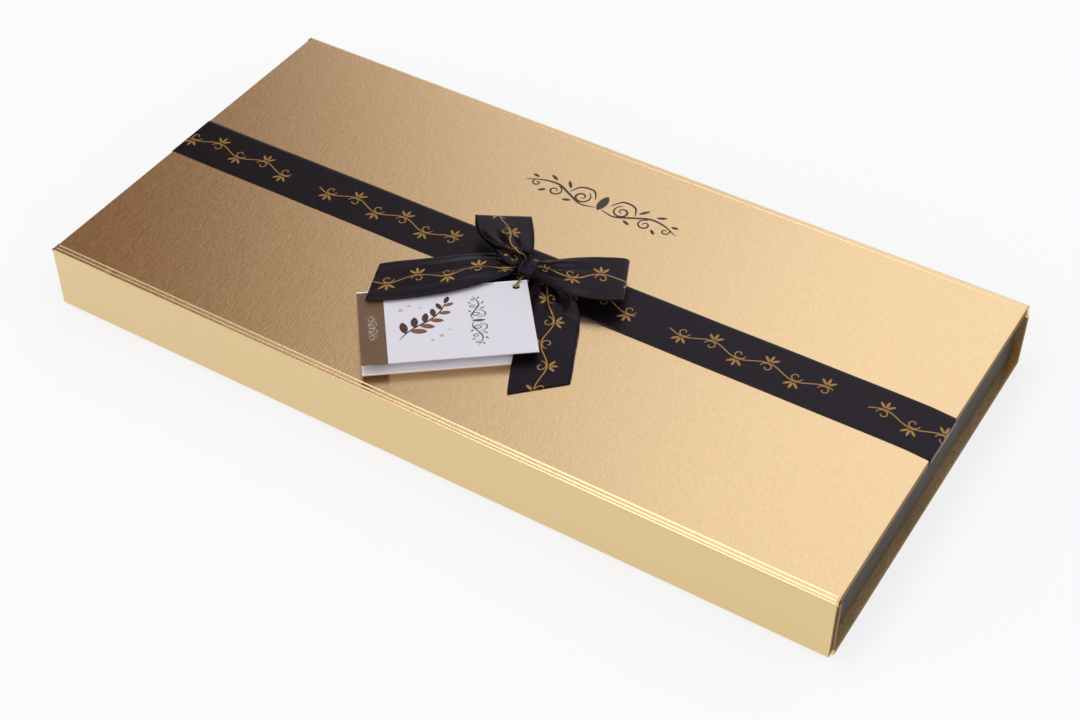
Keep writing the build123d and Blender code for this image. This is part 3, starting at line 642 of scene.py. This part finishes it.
def add_cord():
    route = ((0.60, 2.60, 32.00), (0.50, 4.90, 32.20), (-1.20, 6.30, 32.50), (-3.20, 6.20, 32.80),
             (-4.40, 4.60, 33.00), (-1.60, -3.20, 32.40), (-1.45, -6.70, 33.60), (-1.00, -11.45, 33.55),
             (-0.95, -11.55, 30.80), (0.20, -8.00, 30.86), (0.90, -5.20, 31.20), (0.00, -3.10, 32.20))
    curve = bpy.data.curves.new("tag_cord_thread", "CURVE")
    curve.dimensions = "3D"
    line = curve.splines.new("NURBS")
    line.points.add(len(route) - 1)
    for point, at in zip(line.points, route):
        point.co = (*[c * MM for c in at], 1)
    line.order_u = 3
    line.use_endpoint_u = True
    line.resolution_u = 12
    curve.bevel_depth = 0.4 * MM
    curve.bevel_resolution = 4
    curve.materials.append(thread())
    cord = bpy.data.objects.new("tag_cord_thread", curve)
    bpy.context.scene.collection.objects.link(cord)
    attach(cord, "lid")
    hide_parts("tag_cord")


# Paper hinges

def strip_profile(points, count):
    """So many even steps along a smooth line through the points of a fold's section."""
    return even(smooth_rows(points, points, count * 6), 2, count)[0]


def wrinkle(x, phase):
    """A slow unevenness along a fold, in millimetres."""
    return (0.5 * np.sin(x / 23 + phase) + 0.3 * np.sin(x / 9.1 + 2.3 * phase)
            + 0.2 * np.sin(x / 3.7 + 5 * phase))


def add_flap_crease(gold):
    """The scored gold paper between the lid and the flap: two steps and a rounding."""
    profile = strip_profile(np.array((
        (-84.84, 29.94), (-84.98, 29.90), (-85.22, 29.68), (-85.40, 29.62), (-86.00, 29.66),
        (-86.50, 29.68), (-86.64, 29.65), (-86.84, 29.46), (-87.00, 29.42), (-87.40, 29.45),
        (-87.86, 29.44), (-88.10, 29.36), (-88.24, 29.18), (-88.30, 28.90))), 56)
    half, widening = 175.75, 0.7  # half the length at the lid, and how much longer it is at the flap
    along = np.linspace(-1, 1, 301)
    grid = np.zeros((len(along), len(profile), 3))
    taper = np.linspace(0, 1, len(profile))[None]
    grid[..., 0] = along[:, None] * (half + widening * taper ** 3)
    xs = along * half
    grid[..., 1] = profile[None, :, 0]
    inside = np.sin(np.linspace(0, math.pi, len(profile)))[None] ** 0.7
    wave = wrinkle(xs, 0.4)[:, None] * 0.04 + wrinkle(xs * 1.7, 1.9)[:, None] * 0.02 * np.sin(
        np.linspace(0, 3 * math.pi, len(profile)))[None]
    nick = (-0.14 * np.exp(-((xs + 146) / 1.6) ** 2)[:, None]
            - 0.08 * np.exp(-((xs - 163) / 1.1) ** 2)[:, None])
    grid[..., 2] = profile[None, :, 1] + inside * (wave + nick)
    strip = sheet_mesh("flap_crease_paper", grid * MM, PAPER, gold, None)
    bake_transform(strip)
    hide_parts("flap_hinge_strip")


def add_lid_hinge(gold):
    """The gold paper that bulges behind the spine and holds the lid."""
    profile = strip_profile(np.array((
        (86.30, 18.80), (86.34, 19.5), (86.60, 21.2), (87.20, 23.8), (87.80, 26.2), (88.20, 28.0),
        (88.38, 29.1), (88.20, 29.68), (87.60, 29.90), (86.50, 29.93), (85.40, 29.93))), 38)
    xs = np.linspace(-LID_END, LID_END, 241)
    grid = np.zeros((len(xs), len(profile), 3))
    grid[..., 0] = xs[:, None] * (1 + 0.0060 * np.clip(1 - (profile[None, :, 1] - 18.8) / 10.0, 0, 1))
    inside = np.sin(np.linspace(0, math.pi, len(profile)))[None]
    grid[..., 1] = profile[None, :, 0] + inside * (wrinkle(xs, 2.2)[:, None] * 0.08 - 0.06)
    grid[..., 2] = profile[None, :, 1] + inside * wrinkle(xs, 0.9)[:, None] * 0.04
    strip = sheet_mesh("lid_hinge_paper", grid * MM, PAPER, gold, None)
    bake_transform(strip)
    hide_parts("lid_hinge_strip")


# Pad

def add_pad(paper):
    """The quilted pad under the lid, crowned between its pressed diamonds."""
    low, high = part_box("lid_pad")
    mid = (low + high) / 2
    half = (high - low) / 2
    nx, ny = 221, 111
    corner = 0.008
    xs, ys = np.meshgrid(np.linspace(-1, 1, nx), np.linspace(-1, 1, ny), indexing="ij")
    x, y = xs * half.x, ys * half.y
    over_x, over_y = np.abs(x) - (half.x - corner), np.abs(y) - (half.y - corner)
    both = (over_x > 0) & (over_y > 0)
    reach = np.hypot(over_x, over_y)
    ratio = np.where(both, np.maximum(over_x, over_y) / np.maximum(reach, 1e-9), 1.0)
    x = np.where(both, np.sign(x) * (half.x - corner + over_x * ratio), x)
    y = np.where(both, np.sign(y) * (half.y - corner + over_y * ratio), y)
    step, diagonal = 0.0125, 1.4142
    a, b = (np.abs(np.sin(math.pi * line / step / diagonal)) ** 0.55 for line in (x + y, x - y))
    puff = 0.35 + 0.65 * a * b
    edge = np.minimum(half.x * (1 - np.abs(xs)), half.y * (1 - np.abs(ys)))
    rise = ease(np.clip(edge / 0.004, 0, 1))
    deep = (high.z - low.z) * (0.22 + 0.78 * rise * puff)
    top = np.stack([x + mid.x, y + mid.y, np.full_like(x, high.z - 0.00002)], axis=2)
    face = np.stack([x + mid.x, y + mid.y, high.z - deep], axis=2)
    points = np.concatenate([face.reshape(-1, 3), top.reshape(-1, 3)])
    low_index = nx * ny
    faces = []
    for i in range(nx - 1):
        for j in range(ny - 1):
            p = i * ny + j
            faces.append((p, p + 1, p + ny + 1, p + ny))
            faces.append((low_index + p, low_index + p + ny, low_index + p + ny + 1, low_index + p + 1))
    rim = rim_of(nx, ny)
    for p, q in zip(rim, rim[1:] + rim[:1]):
        faces.append((p, q, low_index + q, low_index + p))
    pad = piece("lid_pad_quilted", points, faces, paper, "lid")
    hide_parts("lid_pad")


# Printed ornaments, as thin layers

LEAF_POINTS = 28  # a leaf's outline; a stroke's outline has another even number of points

def stroke(points, widths):
    """Outline of a pen stroke of changing width along a line in the plane."""
    points, widths = np.asarray(points, float), np.asarray(widths, float)
    way = np.gradient(points, axis=0)
    way /= np.linalg.norm(way, axis=1, keepdims=True) + 1e-9
    side = np.stack([-way[:, 1], way[:, 0]], axis=1) * widths[:, None] / 2
    return np.concatenate([points + side, (points - side)[::-1]])


def spiral(centre, size, turns, begin, hand=1, wide=0.7, count=46):
    t = np.linspace(0, 1, count)
    angle = begin + hand * turns * 2 * math.pi * t
    radius = size * (1 - 0.86 * t)
    points = np.stack([centre[0] + radius * np.cos(angle), centre[1] + radius * np.sin(angle)], axis=1)
    swell = 0.35 + 0.65 * np.sin(math.pi * np.clip(t * 1.1, 0, 1)) ** 0.8
    return stroke(points, wide * swell * (1 - 0.3 * t) + 0.05)


def leaf_shape(centre, long, wide, angle):
    t = np.linspace(0, 2 * math.pi, LEAF_POINTS, endpoint=False)
    x, y = long / 2 * np.cos(t), wide / 2 * np.sin(t) * np.abs(np.sin(t)) ** 0.4
    c, s = math.cos(angle), math.sin(angle)
    return np.stack([centre[0] + x * c - y * s, centre[1] + x * s + y * c], axis=1)


def sweep_line(points, wide, count=60):
    rows = smooth_rows(points, points, count)
    t = np.linspace(0, 1, count)
    return stroke(rows, wide * (0.25 + 0.75 * np.sin(math.pi * t) ** 0.7))


def printed(name, shapes, origin, x_way, y_way, lift, material, body):
    """Thin raised shapes on a plane: a stroke is closed with strips and a leaf with one face."""
    x_way, y_way = np.asarray(x_way, float), np.asarray(y_way, float)
    normal = np.cross(x_way, y_way)
    points, faces = [], []
    for k, shape in enumerate(shapes):
        base = len(points)
        n = len(shape)
        top = lift + 0.035 + 0.0012 * (k % 9)
        for high in (top, lift - 0.01):
            points += [origin + x_way * p[0] + y_way * p[1] + normal * high for p in shape]
        if n == LEAF_POINTS:
            faces.append(tuple(range(base, base + n)))
            faces.append(tuple(range(base + 2 * n - 1, base + n - 1, -1)))
        else:
            for i in range(n // 2 - 1):
                a, b, c, d = base + i, base + i + 1, base + n - 2 - i, base + n - 1 - i
                faces += [(d, c, b, a), (n + a, n + b, n + c, n + d)]
        for i in range(n):
            j = (i + 1) % n
            faces.append((base + i, base + n + i, base + n + j, base + j))
    made = piece(name, np.array(points) * MM, faces, material, body, smooth=False)
    tidy_normals(made.data)


def tidy_normals(mesh):
    """Turn the faces of a closed mesh outward."""
    work = bmesh.new()
    work.from_mesh(mesh)
    bmesh.ops.recalc_face_normals(work, faces=work.faces)
    work.to_mesh(mesh)
    work.free()


def flourish(width, height):
    """A mirrored scroll with leaves round a small centre piece."""
    shapes = []
    w, h = width / 2, height / 2
    shapes.append(leaf_shape((0, h * 0.05), h * 1.5, h * 0.62, math.pi / 2))
    for side in (-1, 1):
        def at(x, y):
            return (side * x * w, y * h)
        long_stem = (at(0.04, -0.55), at(0.22, -0.75), at(0.42, -0.25), at(0.62, 0.25),
                     at(0.80, 0.15), at(1.0, -0.35))
        short_stem = (at(0.10, 0.1), at(0.20, 0.85), at(0.36, 0.75), at(0.44, 0.0))
        shapes.append(sweep_line(np.array(long_stem), h * 0.17))
        shapes.append(sweep_line(np.array(short_stem), h * 0.15))
        shapes.append(spiral(at(0.27, -0.08), h * 0.62, 1.5, math.pi / 2 + side * 0.4, side, h * 0.16))
        shapes.append(spiral(at(0.60, -0.42), h * 0.50, 1.4, math.pi / 2, side, h * 0.14))
        shapes.append(spiral(at(0.86, -0.32), h * 0.34, 1.3, math.pi / 2, -side, h * 0.12))
        for x, y, long, turn in ((0.50, 0.62, 0.8, 0.9), (0.72, 0.72, 0.7, 0.5), (0.40, -0.85, 0.6, -0.4),
                                 (0.74, -0.78, 0.55, -0.7), (0.93, 0.3, 0.5, 0.2)):
            angle = turn if side > 0 else math.pi - turn
            shapes.append(leaf_shape(at(x, y), long * h, 0.22 * h, angle))
    return shapes


SCROLL_LONG = 72.0


def add_lid_ornament():
    shapes = flourish(SCROLL_LONG, 13.0)
    printed("lid_ornament", shapes, np.array([0.5, 54.0, 30.0]), (1, 0, 0), (0, 1, 0), 0.0,
            ink("ornament_ink", "3A2C22", "2E2219"), "lid")


def add_tag_prints():
    rise = math.radians(3.8)
    fold = np.array([math.cos(TAG_TURN), math.sin(TAG_TURN), 0.0])
    way = np.array([fold[1], -fold[0], 0.0])
    normal = UP * math.cos(rise) - way * math.sin(rise)
    y_way = np.cross(normal, fold)
    origin = np.array(TAG_ORIGIN)
    dark, milk = ink("print_dark", "4A2414", "391A0E"), ink("print_milk", "8A5434", "744126")
    pale = ink("print_pale", "C9B8A6", "B8A28C")
    gap = 0.5

    def lay(name, shapes, material):
        printed(name, shapes, origin, fold, y_way, gap, material, "tag_leaf")

    stem = np.array([(-18.6, -31.5), (-15.5, -27.5), (-11.0, -23.8), (-6.0, -20.4), (-1.6, -15.4),
                     (0.4, -10.6)])
    lay("tag_print_stem", [sweep_line(stem, 0.75)], dark)
    line = smooth_rows(stem, stem, 60)
    for name, material, side, first in (("tag_print_dark", dark, 1, 9), ("tag_print_milk", milk, -1, 14)):
        leaves = []
        for k in range(first, 56, 10):
            way = line[k + 1] - line[k]
            lean = math.atan2(way[1], way[0]) + side * 0.85
            size = 7.4 - 3.4 * k / 56
            middle = line[k] + np.array([math.cos(lean), math.sin(lean)]) * (size * 0.56)
            leaves.append(leaf_shape(middle, size, size * 0.46, lean))
        lay(name, leaves, material)
    tip = line[-1] - line[-3]
    lay("tag_print_tip", [leaf_shape(line[-1] + tip * 2.0, 4.4, 2.0, math.atan2(tip[1], tip[0]))], dark)
    dots = [leaf_shape(at, size, size, 0.0) for at, size in (
        ((-17.2, -13.4), 1.9), ((-13.9, -10.9), 1.4), ((-9.6, -12.6), 1.1), ((-2.4, -30.6), 1.9),
        ((-5.9, -33.0), 1.4), ((1.0, -27.4), 1.1))]
    lay("tag_print_pale", dots, pale)

    def upright_scroll(height, across, along, at):
        """The lid's scroll turned to stand on the tag, scaled across and along it, at a place across it."""
        return [np.stack([p[:, 1] * across + at, p[:, 0] * along - 23.0], axis=1)
                for p in flourish(SCROLL_LONG, height)]

    lay("tag_print_scroll", upright_scroll(11.0, 0.62, 0.42, 12.5), ink("print_ink", "4C4048", "3A3036"))
    lay("tag_print_band", upright_scroll(9.0, 0.42, 0.22, -28.6), pale)


# Materials on the solids that stay

def dress():
    gold = gold_paper()
    looks = {
        "gold_paper": gold, "black_paper": black_paper(), "board": greyboard(),
        # pad paper: its last colour is the painted tint for upright faces, and its end faces get the painted
        # brown shade
        "pad_paper": gold_paper("pad_paper", 0.6, 0.6, "E2C48C", "D4B075", "DDBD84"), "tag_card": tag_card(),
        "magnet": steel("magnet_nickel", "9A9B9E"), "steel": steel("disc_steel", "8B8C8E"),
        "insert_film": film(),
        "milk_chocolate": chocolate("milk_chocolate", "6B3A20", "5A2F19", 0.34),
        "dark_chocolate": chocolate("dark_chocolate", "38190F", "2C120B", 0.30),
        "white_chocolate": chocolate("white_chocolate", "E9D6AE", "DCC594", 0.36),
        # painted light: the back leaf gets a lighter copy of the tag card, lightened to offset the shade it
        # lies in under the front leaf
        "tag_inside": tag_card("tag_inside", "F2F0F4", "DFDAE4", banded=False),
    }
    slots = {part["node"]: part["material_slot"] for part in frame["record"]["subparts"]}
    slots["tag_back_leaf"] = "tag_inside"
    for name, node in frame["nodes"].items():
        look = looks.get(slots.get(name))
        if look:
            node.data.materials.clear()
            node.data.materials.append(look)
    return looks


# Studio

def add_studio():
    world = bpy.data.worlds.new("studio")
    world.use_nodes = True
    tree = world.node_tree
    tree.nodes.clear()
    to_eye = Num(tree, put(tree, "LightPath").node.outputs["Is Camera Ray"])
    toward = Num(tree, put(tree, "VectorMath", {
        0: put(tree, "TexCoord", out="Generated"), 1: (-0.85, 0.2, 0.49)}, out=1, operation="DOT_PRODUCT"))
    shade = Num(tree, put(tree, "MapRange", {0: toward, 1: 0.785, 2: 0.887, 3: 0.0, 4: 1.0}))
    dim = put(tree, "Background", {
        "Color": mix(tree, shade, (0.90, 0.91, 0.96, 1), (0.16, 0.076, 0.030, 1)), "Strength": 1.0})
    white = put(tree, "Background", {"Color": (1, 1, 1, 1), "Strength": 1.0})
    output = tree.nodes.new("ShaderNodeOutputWorld")
    tree.links.new(put(tree, "MixShader", {0: to_eye, 1: dim, 2: white}), output.inputs[0])
    bpy.context.scene.world = world

    def lamp(name, at, target, size, power, tint=(1, 1, 1)):
        data = bpy.data.lights.new(name, "AREA")
        data.shape, data.size, data.size_y = "RECTANGLE", size[0], size[1]
        data.energy, data.color = power, tint
        made = bpy.data.objects.new(name, data)
        made.location = at
        made.rotation_euler = (Vector(target) - Vector(at)).to_track_quat("-Z", "Y").to_euler()
        bpy.context.scene.collection.objects.link(made)

    lamp("key", (0.25, 1.35, 1.30), (0, 0, 0), (1.6, 1.2), 1.9, (0.80, 0.90, 1.0))
    lamp("front", (-0.35, -1.5, 1.25), (0, 0, 0), (0.8, 0.5), 4.0)
    lamp("top", (-0.45, -0.05, 1.75), (0, 0, 0), (0.9, 0.5), 4.2)
    points = [(x, y, 0) for x, y in ((-6, -6), (6, -6), (6, 6), (-6, 6))]
    floor = piece("floor", points, [(0, 1, 2, 3)], floor_material(), None, smooth=False)
    floor.location.z = -0.0002


add_camera()
add_cord()
looks = dress()
add_band()
add_bow()
add_flap_crease(looks["gold_paper"])
add_lid_hinge(looks["gold_paper"])
add_pad(looks["pad_paper"])
add_lid_ornament()
add_tag_prints()
add_studio()

bpy.context.scene.view_settings.view_transform = "Standard"
